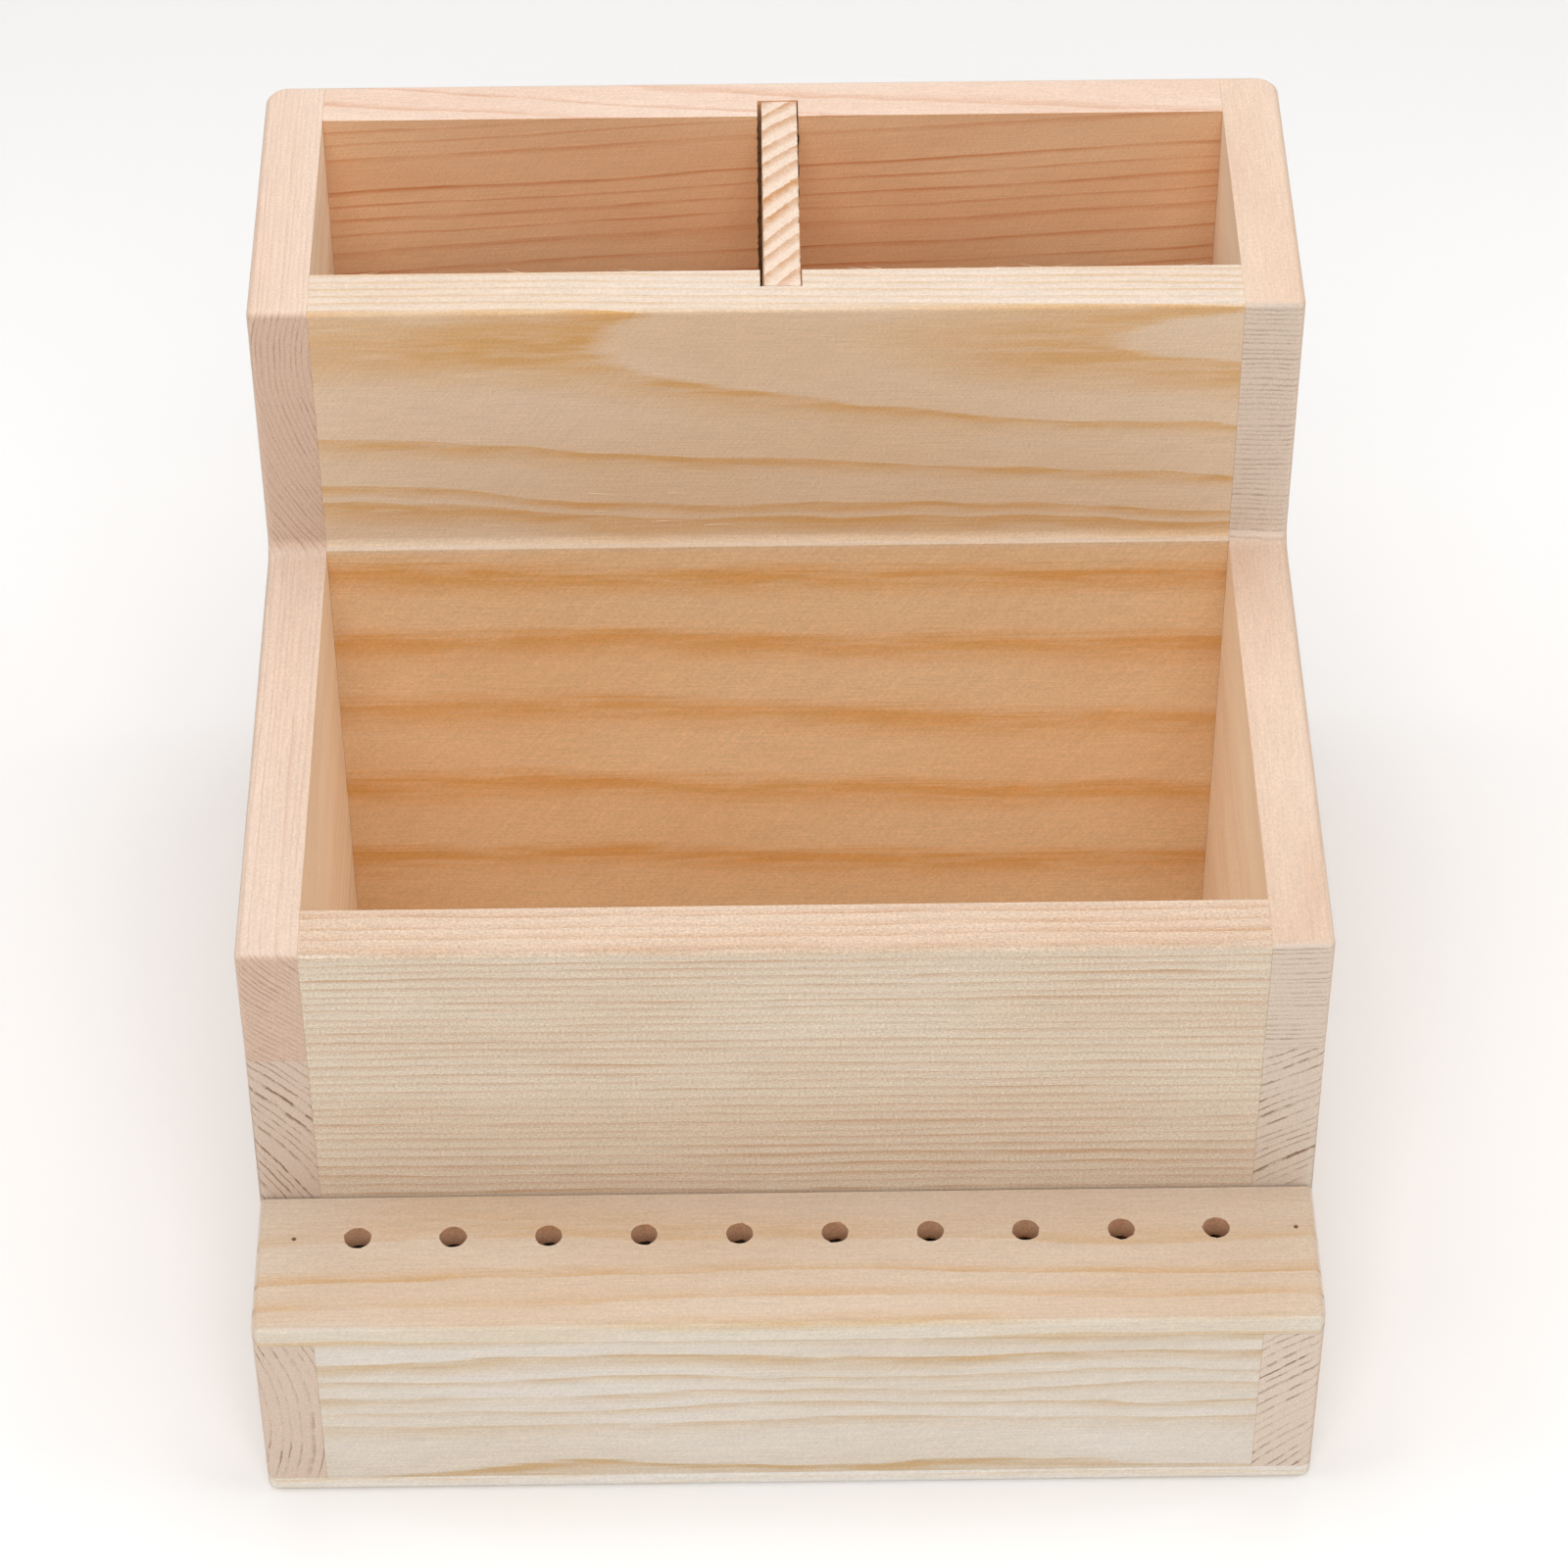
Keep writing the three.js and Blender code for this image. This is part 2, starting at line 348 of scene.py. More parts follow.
def streaks(tree, local, pattern, seed=0.0):
    """Soft random streaks that run along the grain."""
    along, across, detail, roughness, start = STREAKS[pattern]
    shift = seed + start
    size = (1 / along, 1 / across, 1 / across)
    stretched = add(tree, "Mapping", {"Vector": local, "Location": (shift, 2 * shift, 0), "Scale": size})
    look = {"Vector": stretched, "Scale": 1.0, "Detail": detail, "Roughness": roughness}
    return add(tree, "TexNoise", look)


def growth_rings(tree, local, seed, ring, waver, unevenness):
    """Counts years outward from the pith, as a number whose whole part steps at each ring's dark edge.

    Waver bends the rings along the board, and unevenness makes some years wider than others.
    """
    bent = local
    for pattern, reach in (("slow bend", waver), ("quick bend", 0.5 + waver * 0.12)):
        cloud = streaks(tree, local, pattern, seed).outputs["Color"]
        centred = add(tree, "VectorMath", (cloud, (0.5, 0.5, 0.5)), operation="SUBTRACT")
        shift = add(tree, "VectorMath", (centred, (0, reach, reach)), operation="MULTIPLY")
        bent = add(tree, "VectorMath", (bent, shift))
    flat = add(tree, "VectorMath", (bent, (0, 1, 1)), operation="MULTIPLY")
    radius = add(tree, "VectorMath", (flat,), operation="LENGTH")
    years = add(tree, "Math", (radius, ring), operation="DIVIDE")
    lean = add(tree, "TexNoise", {"W": years, "Scale": 0.37, "Detail": 1.0}, noise_dimensions="1D")
    return add(tree, "Math", (lean, unevenness, years), operation="MULTIPLY_ADD")


def late_wood(tree, years, late, fade, faintest):
    """From 0 in pale early wood to 1 in the dark wood that ends each year's ring with a crisp edge.

    late is the share of a ring that is dark, and fade the softness of its inner side. Some years are
    fainter than others, down to the faintest.
    """
    part = add(tree, "Math", (years,), operation="FRACT")
    number = add(tree, "Math", (years,), operation="FLOOR")
    luck = add(tree, "TexWhiteNoise", {"W": number}, noise_dimensions="1D")
    ramp = add(tree, "ValToRGB", (part,))
    start = 1 - late * (1 + fade)
    shape_ramp(ramp, [(0.0, 0.9), (0.05, 0.0), (start, 0.0), (1 - late * 0.75, 0.6), (1 - late * 0.3, 1.0)])
    strength = add(tree, "MapRange", (luck, 0.0, 1.0, faintest, 1.0))
    return add(tree, "Math", (ramp, strength), operation="MULTIPLY")


def shape_ramp(ramp, stops):
    """Sets a colour ramp's stops from (place, brightness) pairs."""
    elements = ramp.color_ramp.elements
    while len(elements) > 1:
        elements.remove(elements[-1])
    elements[0].position = stops[0][0]
    elements[0].color = (stops[0][1],) * 3 + (1,)
    for place, brightness in stops[1:]:
        elements.new(place).color = (brightness,) * 3 + (1,)


def sanded_pine(
    name,
    grain,
    pith,
    early,
    stain,
    other_faces=(),
    ring=2.2,
    late=0.3,
    fade=0.6,
    contrast=0.8,
    waver=6.0,
    unevenness=1.2,
    slope=0.0,
    lower_part=None,
    rim_contrast=0.8,
    faintest=0.5,
    fuzz=1.0,
    ragged=0.05,
    scratches=0.4,
    seed=0.0,
    figure=None,
    end_late=0.2,
    end_contrast=0.8,
    end_breaks=0.75,
    end_colour=None,
    end_line=None,
):
    """Bare pine, planed and sanded: matt, pale, with soft ochre growth rings and fine silky fibre.

    grain is the axis that the fibres run along. pith is a point on the tree's middle line, in
    millimetres, and ring is a year's growth. early is the pale wood's colour, and stain is what late
    wood multiplies it by. other_faces holds (direction, colour) for faces painted another colour as
    painted light or painted shade, where light falls on them unlike the rest of the board, and
    lower_part holds (height, colour) for the wood below a height, coloured apart as painted warm
    bounce light inside a bin and as wood left unsanded there. figure is a function that lays out the
    rings of a board whose face lies almost along them. Where the surface crosses the fibres, it shows
    end grain: greyer and rosier, with finer, darker ring lines.
    """
    material = bpy.data.materials.new(name)
    material.use_nodes = True
    tree = material.node_tree
    tree.nodes.clear()

    place = add(tree, "TexCoord")
    turn = Vector(GRAIN_TURNS[grain]) + Vector((0, slope, 0))
    tree_frame = {"Location": [p * MM for p in pith], "Rotation": tuple(turn), "Scale": (MM, MM, MM)}
    local = add(tree, "Mapping", {"Vector": place.outputs["Object"], **tree_frame}, vector_type="TEXTURE")

    def squareness(direction):
        return add(tree, "VectorMath", (place.outputs["Normal"], direction), operation="DOT_PRODUCT")

    def faces(direction):
        return add(tree, "MapRange", (squareness(direction), 0.5, 0.9), **SOFTLY)

    # The rings: ragged along the fibres, fainter in patches, broken here and there
    years = figure(tree, local) if figure else growth_rings(tree, local, seed, ring, waver, unevenness)
    edge_noise = streaks(tree, local, "ragged edge", seed)
    years = add(tree, "Math", (years, add(tree, "MapRange", (edge_noise, 0.25, 0.75, -ragged, ragged))))
    patches = streaks(tree, local, "patches", seed)
    patches = add(tree, "MapRange", (patches, 0.3, 0.65, 0.3 + 0.6 * faintest, 1.0), **SOFTLY)
    breaks = streaks(tree, local, "breaks", seed)
    breaks = add(tree, "MapRange", (breaks, 0.3, 0.6, 0.55, 1.1), **SOFTLY)
    on_rim = add(tree, "MapRange", (faces(Z), 0.0, 1.0, 1.0, rim_contrast))
    dark = late_wood(tree, years, late, fade, faintest)
    for factor in (patches, breaks, contrast, on_rim):
        dark = add(tree, "Math", (dark, factor), operation="MULTIPLY")

    # The colour: pale early wood with painted light and shade on some faces, stained by the rings and by
    # slow changes of tone
    colour = early
    # Faces that look one way take their own colour: painted light or painted shade for how light falls on
    # them
    for direction, other in other_faces:
        colour = add(tree, "Mix", {0: faces(direction), 6: colour, 7: other}, **PAINT)
    # Below a height the wood takes a warmer colour: painted warm bounce light inside a bin, and unsanded
    # wood there
    if lower_part:
        level, other = lower_part
        up = add(tree, "SeparateXYZ", (place.outputs["Object"],)).outputs["Z"]
        below = add(tree, "MapRange", (up, level - 1 * MM, level + 1 * MM, 1.0, 0.0), **SOFTLY)
        colour = add(tree, "Mix", {0: below, 6: colour, 7: other}, **PAINT)
    tone = add(tree, "MapRange", (streaks(tree, local, "tone", seed), 0.3, 0.7, 0.0, 0.22), **SOFTLY)
    for share in (dark, tone):
        colour = add(tree, "Mix", {0: share, 6: colour, 7: stain}, blend_type="MULTIPLY", **PAINT)

    # The surface: silky fibre, raised fuzz, specks of resin and slanting marks of the sander
    fibre = streaks(tree, local, "fibre", seed)
    grit = streaks(tree, local, "grit", seed)
    slant = add(tree, "Mapping", {"Vector": local, "Rotation": (0.0, SCRATCH_SLANT, 0.0)})
    marks = streaks(tree, slant, "marks", seed)
    shade = add(tree, "MapRange", (fibre, 0.3, 0.7, 0.925, 1.055))
    fuzzy = add(tree, "MapRange", (grit, 0.3, 0.7, 1 - 0.1 * fuzz, 1 + 0.085 * fuzz))
    resin = add(tree, "MapRange", (grit, 0.75, 0.8, 1.0, 0.62), **SOFTLY)
    scuffed = add(tree, "MapRange", (marks, 0.3, 0.7, 1 - 0.07 * scratches, 1 + 0.04 * scratches))
    for factor in (fuzzy, resin, scuffed):
        shade = add(tree, "Math", (shade, factor), operation="MULTIPLY")
    colour = add(tree, "VectorMath", {0: colour, "Scale": shade}, operation="SCALE")

    # The end grain: ring lines in clumps and dashes, over fine pores
    along = add(tree, "Math", (squareness(GRAIN_AXES[grain]),), operation="ABSOLUTE")
    end_grain = add(tree, "MapRange", (along, 0.5, 0.9), **SOFTLY)
    clumps = streaks(tree, local, "end clumps", seed)
    clumps = add(tree, "MapRange", (clumps, 0.38, 0.6, 1 - end_breaks, 1.0), **SOFTLY)
    dashes = streaks(tree, local, "end dashes", seed)
    dashes = add(tree, "MapRange", (dashes, 0.4, 0.56, 1 - end_breaks, 1.15), **SOFTLY)
    lines = late_wood(tree, years, end_late, 0.3, faintest)
    for factor in (clumps, dashes, end_contrast):
        lines = add(tree, "Math", (lines, factor), operation="MULTIPLY")
    pores = add(tree, "MapRange", (streaks(tree, local, "end pores", seed), 0.3, 0.7, 0.9, 1.07), **SOFTLY)
    ends = {0: lines, 6: end_colour or colours().end_grain, 7: end_line or colours().end_line}
    cut_fibres = add(tree, "Mix", ends, **PAINT)
    cut_fibres = add(tree, "VectorMath", {0: cut_fibres, "Scale": pores}, operation="SCALE")
    colour = add(tree, "Mix", {0: end_grain, 6: colour, 7: cut_fibres}, **PAINT)

    height = fibre
    for relief, depth in ((dark, 0.5), (grit, 0.45 * fuzz), (marks, scratches)):
        height = add(tree, "Math", (relief, depth, height), operation="MULTIPLY_ADD")
    finish = {
        "Base Color": colour,
        "Roughness": add(tree, "MapRange", (fibre, 0.3, 0.7, 0.58, 0.72)),
        "IOR": 1.5,
        "Specular IOR Level": 0.3,
        "Normal": add(tree, "Bump", {"Strength": 0.35, "Distance": 0.1 * MM, "Height": height}),
    }
    add(tree, "OutputMaterial", (add(tree, "BsdfPrincipled", finish),))
    return material


def drawn_wire():
    """Drawn steel wire: grey, half dull and finely mottled."""
    material = bpy.data.materials.new("drawn_steel_wire")
    material.use_nodes = True
    tree = material.node_tree
    tree.nodes.clear()
    place = add(tree, "TexCoord").outputs["Object"]
    fine = add(tree, "TexNoise", {"Vector": place, "Scale": 2 / MM, "Detail": 2.0})
    finish = {
        "Base Color": add(tree, "Mix", {0: fine, 6: colours().steel, 7: colours().dull_steel}, **PAINT),
        "Metallic": 1.0,
        "Roughness": add(tree, "MapRange", (fine, 0.3, 0.7, 0.35, 0.55), **SOFTLY),
    }
    add(tree, "OutputMaterial", (add(tree, "BsdfPrincipled", finish),))
    return material


# ---------------------------------------------------------------- boards


class CADDY_OT_side_panels(bpy.types.Operator):
    """Build both stepped side panels, each glued up from a lower and an upper stave"""

    bl_idname = "caddy.side_panels"
    bl_label = "Side panels"

    def execute(self, context):
        size = sizes()
        front, back = edge("base_board", 0, 1), edge("base_board", 1, 1)
        shelf_under, middle_face = edge("tool_shelf", 0, 2), edge("tool_shelf", 1, 1)
        middle_rim = edge("middle_front_panel", 1, 2)
        rear_face = edge("riser_panel", 0, 1) + size.ledge
        piths = {  # where the middle of the tree was, as (across, up)
            ("left", "lower"): (-154, 20),
            ("left", "upper"): (-34, 160),
            ("right", "lower"): (173, -69),
            ("right", "upper"): (100, 330),
        }
        rings = {
            ("left", "lower"): 1.9,
            ("left", "upper"): 1.05,
            ("right", "lower"): 2.1,
            ("right", "upper"): 1.25,
        }
        ends = {("left", "lower"): linear("#dfc8b5"), ("left", "upper"): linear("#dfc0aa")}
        for seed, ((side, level), (across, up)) in enumerate(piths.items()):
            node = f"{side}_side_{level}_stave"
            low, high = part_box(node)
            if level == "lower":
                outline = [
                    (front, low.z),
                    (back, low.z),
                    (back, high.z),
                    (middle_face, high.z),
                    (middle_face, shelf_under),
                    (front, shelf_under),
                ]
            else:
                outline = [(middle_face, low.z), (back, low.z), (back, high.z), (rear_face, high.z)]
                outline += cove_arc(rear_face, middle_rim, size.cove)
                outline += [(middle_face, middle_rim)]
            bm = prism(outline, X, low.x, high.x)
            inner, outer = (high.x, low.x) if side == "left" else (low.x, high.x)
            glued = [(0, inner), (2, low.z), (2, shelf_under)]
            if level == "lower":
                glued.append((2, high.z))
            corners = [(outer, back, size.rear_corner)]
            if level == "lower":
                corners.append((outer, front, size.front_corner))
            sand(bm, glued, corners)
            material = sanded_pine(
                f"sanded_pine_{side}_{level}_stave",
                grain="Y",
                pith=(across, 0, up),
                early=linear("#dfc8b6" if side == "left" else "#dec5b0"),
                stain=colours().rosy,
                # The inner faces take a paler, warmer colour: painted bounce light inside the bins
                other_faces=[(X if side == "left" else -X, linear("#ffe9cd"))],
                ring=rings[side, level],
                late=0.3,
                contrast=0.3 if (side, level) == ("right", "upper") else 0.55,
                waver=3,
                seed=seed * 3.7,
                end_late=0.2 if level == "lower" else 0.3,
                end_contrast=1.0 if level == "lower" else 0.5,
                end_breaks=0.75 if level == "lower" else 0.5,
                end_colour=ends.get((side, level)),
            )
            cutters = [pin_cutter(n) for n in pins_near("shelf", "base", "low", "middle", "riser", "back")]
            finish_piece(f"{node}_sanded", bm, material, "caddy", [node], cutters)
        return {"FINISHED"}


class CADDY_OT_front_panels(bpy.types.Operator):
    """Build the low front panel and the middle front panel"""

    bl_idname = "caddy.front_panels"
    bl_label = "Front panels"

    def execute(self, context):
        looks = {
            "low_front_panel": dict(
                pith=(0, 0, -36),
                early=linear("#e8ded2"),
                stain=linear("#ecd3ab"),
                ring=3.1,
                late=0.28,
                fade=1.0,
                contrast=1.15,
                waver=11,
                seed=21.0,
            ),
            "middle_front_panel": dict(
                pith=(0, 40, -40),
                early=linear("#ebdbc6"),
                stain=linear("#e6c8ac"),
                # The rim takes a darker colour than the front: painted shade on the lower tier's top
                other_faces=[(Z, linear("#d9c1ab"))],
                ring=1.6,
                late=0.28,
                fade=1.0,
                contrast=0.85,
                waver=2.4,
                seed=33.0,
                fuzz=2.2,
                ragged=0.12,
                unevenness=0.6,
            ),
        }
        for node, look in looks.items():
            low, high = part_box(node)
            outline = [(low.y, low.z), (high.y, low.z), (high.y, high.z), (low.y, high.z)]
            bm = prism(outline, X, low.x, high.x)
            glued = [(0, low.x), (0, high.x), (1, high.y), (2, low.z)]
            if node == "low_front_panel":
                glued.append((2, high.z))
            sand(bm, glued)
            material = sanded_pine(f"sanded_pine_{node}", grain="X", **look)
            cutters = [pin_cutter(n) for n in pins_near("low", "middle")]
            finish_piece(f"{node}_sanded", bm, material, "caddy", [node], cutters)
        return {"FINISHED"}


GROOVE_CHIPS = 0.35 * MM  # the deepest chip in a groove's wall
GROOVE_STEPS = 220  # how many places up a groove's wall can be chipped
GROOVE_OVERRUN = 1 * MM  # how far a groove's cutter runs past the board's ends


def groove_cutter(facing):
    """A cutter for one upright groove, with walls as ragged as a router leaves in pine.

    facing is +1 for the groove in the riser's rear face and -1 for the one in the back panel.
    """
    size = sizes()
    wall = edge("riser_panel", 1, 1) if facing > 0 else edge("back_panel", 0, 1)
    floor = wall - facing * size.groove_depth
    mouth = wall + facing * 2 * GROOVE_OVERRUN
    left, right = (size.groove_centre + s * size.groove_width / 2 for s in (-1, 1))
    top = edge("riser_panel", 1, 2)
    outline = [(left, floor), (right, floor), (right, wall), (right, mouth), (left, mouth), (left, wall)]
    bm = prism(outline, Z, -GROOVE_OVERRUN, top + GROOVE_OVERRUN)
    uprights = [e for e in bm.edges if abs((e.verts[0].co - e.verts[1].co).z) > top / 2]
    bmesh.ops.subdivide_edges(bm, edges=uprights, cuts=GROOVE_STEPS, use_grid_fill=True)
    bmesh.ops.recalc_face_normals(bm, faces=bm.faces)
    chance = random.Random(5 + facing)
    for vert in bm.verts:
        at_wall = near(vert.co.y, wall)
        if at_wall and 0 < vert.co.z < top:
            outward = 1 if vert.co.x > size.groove_centre else -1
            vert.co.x += outward * chance.random() ** 3 * GROOVE_CHIPS
    return bm


RISER_RINGS = (  # for each ring's dark wood, in mm: its foot, its top and how softly the top fades
    (-10, -6, 2),
    (4, 9.5, 2.5),
    (23, 28.5, 3),
    (44, 50, 3.5),
    (64.5, 70.5, 3.5),
    (84.5, 90, 3),
    (103, 108, 3),
    (118, 121.8, 0.3),
    (123, 125.3, 0.1),
    (133.9, 136.6, 0.15),
    (149.6, 152.8, 0.2),
)
TONGUE_TIP = (-37, 165)  # where the last full ring turns back, as (along, up)
TONGUE_BLUNTNESS = 0.25
SQUEEZED_UP = (146, 158)  # between these heights the rings left of the tip crowd
SQUEEZED_TO = 0.25
CLOSING_ALONG = (35, 70)  # between these places the tongue's far end closes
CLOSING_RATE = 0.4
CLOSING_MOST = 15
DARK_FROM = 0.62  # how far through its year each ring darkens
INNER_RING = 2.1  # a year's growth behind the riser's face


def riser_figure(tree, local):
    """Years across the flat-sawn riser, whose face lies almost along the rings.

    Its rings are parabolas about one level line: low down they pass for wide, nearly level bands,
    then they crowd and fall away to the right, and at the top the last one turns back in a tongue.
    """
    along, deep, up = add(tree, "SeparateXYZ", (local,)).outputs
    for pattern, sway in (("riser drift", 2.2), ("riser ripple", 1.3)):
        shift = add(tree, "MapRange", (streaks(tree, local, pattern), 0.25, 0.75, -sway, sway))
        up = add(tree, "Math", (up, shift))
    tip_along, tip_up = TONGUE_TIP
    level = add(tree, "Math", (up, tip_up), operation="SUBTRACT")
    square = add(tree, "Math", (level, level), operation="MULTIPLY")
    past_tip = add(tree, "Math", (along, tip_along), operation="SUBTRACT")
    left = add(tree, "Math", (past_tip, 0), operation="MINIMUM")
    right = add(tree, "Math", (past_tip, 0), operation="MAXIMUM")
    squeeze = add(tree, "MapRange", (up, *SQUEEZED_UP, 1.0, SQUEEZED_TO), **SOFTLY)
    reach = add(tree, "Math", (left, squeeze, right), operation="MULTIPLY_ADD")
    reach = add(tree, "Math", (square, -TONGUE_BLUNTNESS, reach), operation="MULTIPLY_ADD")
    closing = add(tree, "Math", (square, CLOSING_RATE), operation="MULTIPLY")
    closing = add(tree, "Math", (closing, CLOSING_MOST), operation="MINIMUM")
    far_end = add(tree, "MapRange", (along, *CLOSING_ALONG), **SOFTLY)
    closing = add(tree, "Math", (closing, far_end), operation="MULTIPLY")
    reach = add(tree, "Math", (reach, closing), operation="SUBTRACT")

    # Outside the tongue: the height at which each ring crosses the board's middle gives its year
    outside = add(tree, "Math", (reach, 0), operation="MINIMUM")
    under = add(tree, "Math", (-tip_along, outside), operation="SUBTRACT")
    drop = add(tree, "Math", (under, TONGUE_BLUNTNESS), operation="DIVIDE")
    drop = add(tree, "Math", (drop, 0.5), operation="POWER")
    height = add(tree, "Math", (tip_up, drop), operation="SUBTRACT")
    low, high = RISER_RINGS[0][0], tip_up - (-tip_along / TONGUE_BLUNTNESS) ** 0.5
    curve = add(tree, "FloatCurve", {"Value": add(tree, "MapRange", (height, low, high))})
    points = curve.mapping.curves[0].points
    last = len(RISER_RINGS)
    for i, (foot, top, fading) in enumerate(RISER_RINGS):
        for place, year in ((foot, i + DARK_FROM), (top, i + 1), (top + fading, i + 1.05)):
            if 0 < (place - low) / (high - low) < 1:
                points.new((place - low) / (high - low), year / last)
    for point in points:
        point.handle_type = "VECTOR"
    curve.mapping.update()
    years = add(tree, "Math", (curve, last), operation="MULTIPLY")

    # Inside it, and behind the face, the years go slowly on
    inside = add(tree, "Math", (reach, 0), operation="MAXIMUM")
    years = add(tree, "Math", (inside, 1 / 100, years), operation="MULTIPLY_ADD")
    face = (edge("riser_panel", 0, 1) + sizes().ledge) / MM
    inward = add(tree, "Math", (deep, face), operation="SUBTRACT")
    inward = add(tree, "Math", (inward, 0), operation="MAXIMUM")
    return add(tree, "Math", (inward, 1 / INNER_RING, years), operation="MULTIPLY_ADD")


FIBRE_RADIUS = 0.07 * MM
FIBRE_BENDS = 5  # how many straight steps make a curl
RIM_FIBRES = 14
FACE_FIBRES = 9


def stray_fibre(bm, place, heading, lift, long):
    """A hair of torn pine that curls away from a sawn edge or a planed face."""
    turn = heading.to_track_quat("Z", "Y").to_matrix().to_4x4()
    made = bmesh.ops.create_cone(
        bm,
        cap_ends=True,
        segments=5,
        radius1=FIBRE_RADIUS,
        radius2=FIBRE_RADIUS / 3,
        depth=long,
        matrix=Matrix.Translation(place + heading * long / 2) @ turn,
    )
    faces = {face for vert in made["verts"] for face in vert.link_faces}
    edges = {e for face in faces for e in face.edges}
    for i in range(1, FIBRE_BENDS):
        everything = list(made["verts"]) + list(edges) + list(faces)
        bend = place + heading * long * i / FIBRE_BENDS
        cut = bmesh.ops.bisect_plane(bm, geom=everything, plane_co=bend, plane_no=heading)
        found = cut["geom"] + cut["geom_cut"]
        faces = {g for g in found if isinstance(g, bmesh.types.BMFace)}
        edges = {g for g in found if isinstance(g, bmesh.types.BMEdge)}
        made["verts"] = [g for g in set(found) if isinstance(g, bmesh.types.BMVert)]
    for vert in made["verts"]:
        along = (vert.co - place).dot(heading) / long
        vert.co += lift * along * along


class CADDY_OT_stray_fibres(bpy.types.Operator):
    """Scatter a few torn fibres along the rear tier's sawn edge and planed face"""

    bl_idname = "caddy.stray_fibres"
    bl_label = "Stray fibres"

    def execute(self, context):
        chance = random.Random(23)
        low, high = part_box("riser_panel")
        size = sizes()
        bare = 14 * MM  # on each side of the groove, where the rim has no fibres
        bm = bmesh.new()
        for _ in range(RIM_FIBRES):
            x = chance.uniform(low.x + 4 * MM, high.x - 8 * MM)
            if abs(x - size.groove_centre) < bare:
                x += 2 * bare
            place = Vector((x, high.y - 0.1 * MM, high.z - chance.uniform(0.1, 0.5) * MM))
            heading = Vector((chance.choice((-1, 1)), chance.uniform(0.02, 0.12), 0)).normalized()
            stray_fibre(bm, place, heading, Y * chance.uniform(0.2, 1.0) * MM, chance.uniform(2, 6) * MM)
        face = low.y + size.ledge
        for _ in range(FACE_FIBRES):
            x = chance.uniform(low.x + 6 * MM, low.x + 90 * MM)
            place = Vector((x, face + 0.03 * MM, chance.uniform(118, 142) * MM))
            heading = Vector((1, -0.01, chance.uniform(-0.1, 0.08))).normalized()
            stray_fibre(bm, place, heading, -Y * chance.uniform(0.05, 0.3) * MM, chance.uniform(2, 7) * MM)
        bm.normal_update()
        bleached = sanded_pine(
            "torn_pine_fibre", grain="X", pith=(0, 0, -60), early=linear("#f3e4cd"), stain=colours().ochre
        )
        finish_piece("stray_fibres", bm, bleached, "caddy", [])
        return {"FINISHED"}


class CADDY_OT_rear_panels(bpy.types.Operator):
    """Build the grooved riser and back panel of the rear tier"""

    bl_idname = "caddy.rear_panels"
    bl_label = "Rear panels"

    def execute(self, context):
        size = sizes()
        low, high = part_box("riser_panel")
        rim = edge("middle_front_panel", 1, 2)
        reach = math.acos((size.cove - size.ledge) / size.cove)
        outline = [(low.y, low.z), (high.y, low.z), (high.y, high.z), (low.y + size.ledge, high.z)]
        outline += cove_arc(low.y + size.ledge, rim, size.cove, until=reach)
        riser = prism(outline, X, low.x, high.x)
        sand(riser, [(0, low.x), (0, high.x), (1, high.y), (1, low.y), (2, low.z)])
        figured = sanded_pine(
            "sanded_pine_riser",
            grain="X",
            pith=(0, 0, 0),
            early=linear("#e9cfb3"),
            stain=colours().ochre,
            # The rim and the face take separate colours, lit and shaded copies of one wood; below the
            # middle rim the warmer colour is partly unsanded wood and partly painted warm bounce light
            # inside the middle bin
            other_faces=[(Z, linear("#dbcbbd"))],
            lower_part=(rim, linear("#efcba2")),
            rim_contrast=0.6,
            faintest=0.85,
            fuzz=1.1,
            scratches=0.55,
            late=0.36,
            fade=0.45,
            contrast=0.92,
            ragged=0.025,
            seed=41.0,
            figure=riser_figure,
        )
        cutters = [groove_cutter(1)] + [pin_cutter(n) for n in pins_near("riser")]
        finish_piece("riser_panel_sanded", riser, figured, "caddy", ["riser_panel"], cutters)

        low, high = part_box("back_panel")
        outline = [(low.y, low.z), (high.y, low.z), (high.y, high.z), (low.y, high.z)]
        back = prism(outline, X, low.x, high.x)
        sand(back, [(0, low.x), (0, high.x), (1, low.y), (2, low.z)])
        lined = sanded_pine(
            "sanded_pine_back",
            grain="X",
            pith=(0, 170, 60),
            # The inner face's orange early wood is painted warm bounce light inside the bin; the rim and
            # the rear face take plainer colours of their own, the lit copies
            early=linear("#f2c89f"),
            stain=colours().rust,
            other_faces=[(Z, linear("#e2ccbb")), (Y, linear("#ecd2b8"))],
            scratches=0.5,
            ring=3.4,
            late=0.15,
            contrast=0.85,
            waver=5,
            slope=math.radians(-3.5),
            seed=52.0,
        )
        cutters = [groove_cutter(-1)] + [pin_cutter(n) for n in pins_near("back")]
        finish_piece("back_panel_sanded", back, lined, "caddy", ["back_panel"], cutters)
        return {"FINISHED"}


LIP_DEPTH = 0.35 * MM  # how far a chipped lip reaches into its hole
LIP_SPILL = 0.4 * MM  # how far the chipped shape carries on outside the board
CHIPS = 7  # to each hole
DRILL_OVERRUN = 2 * MM


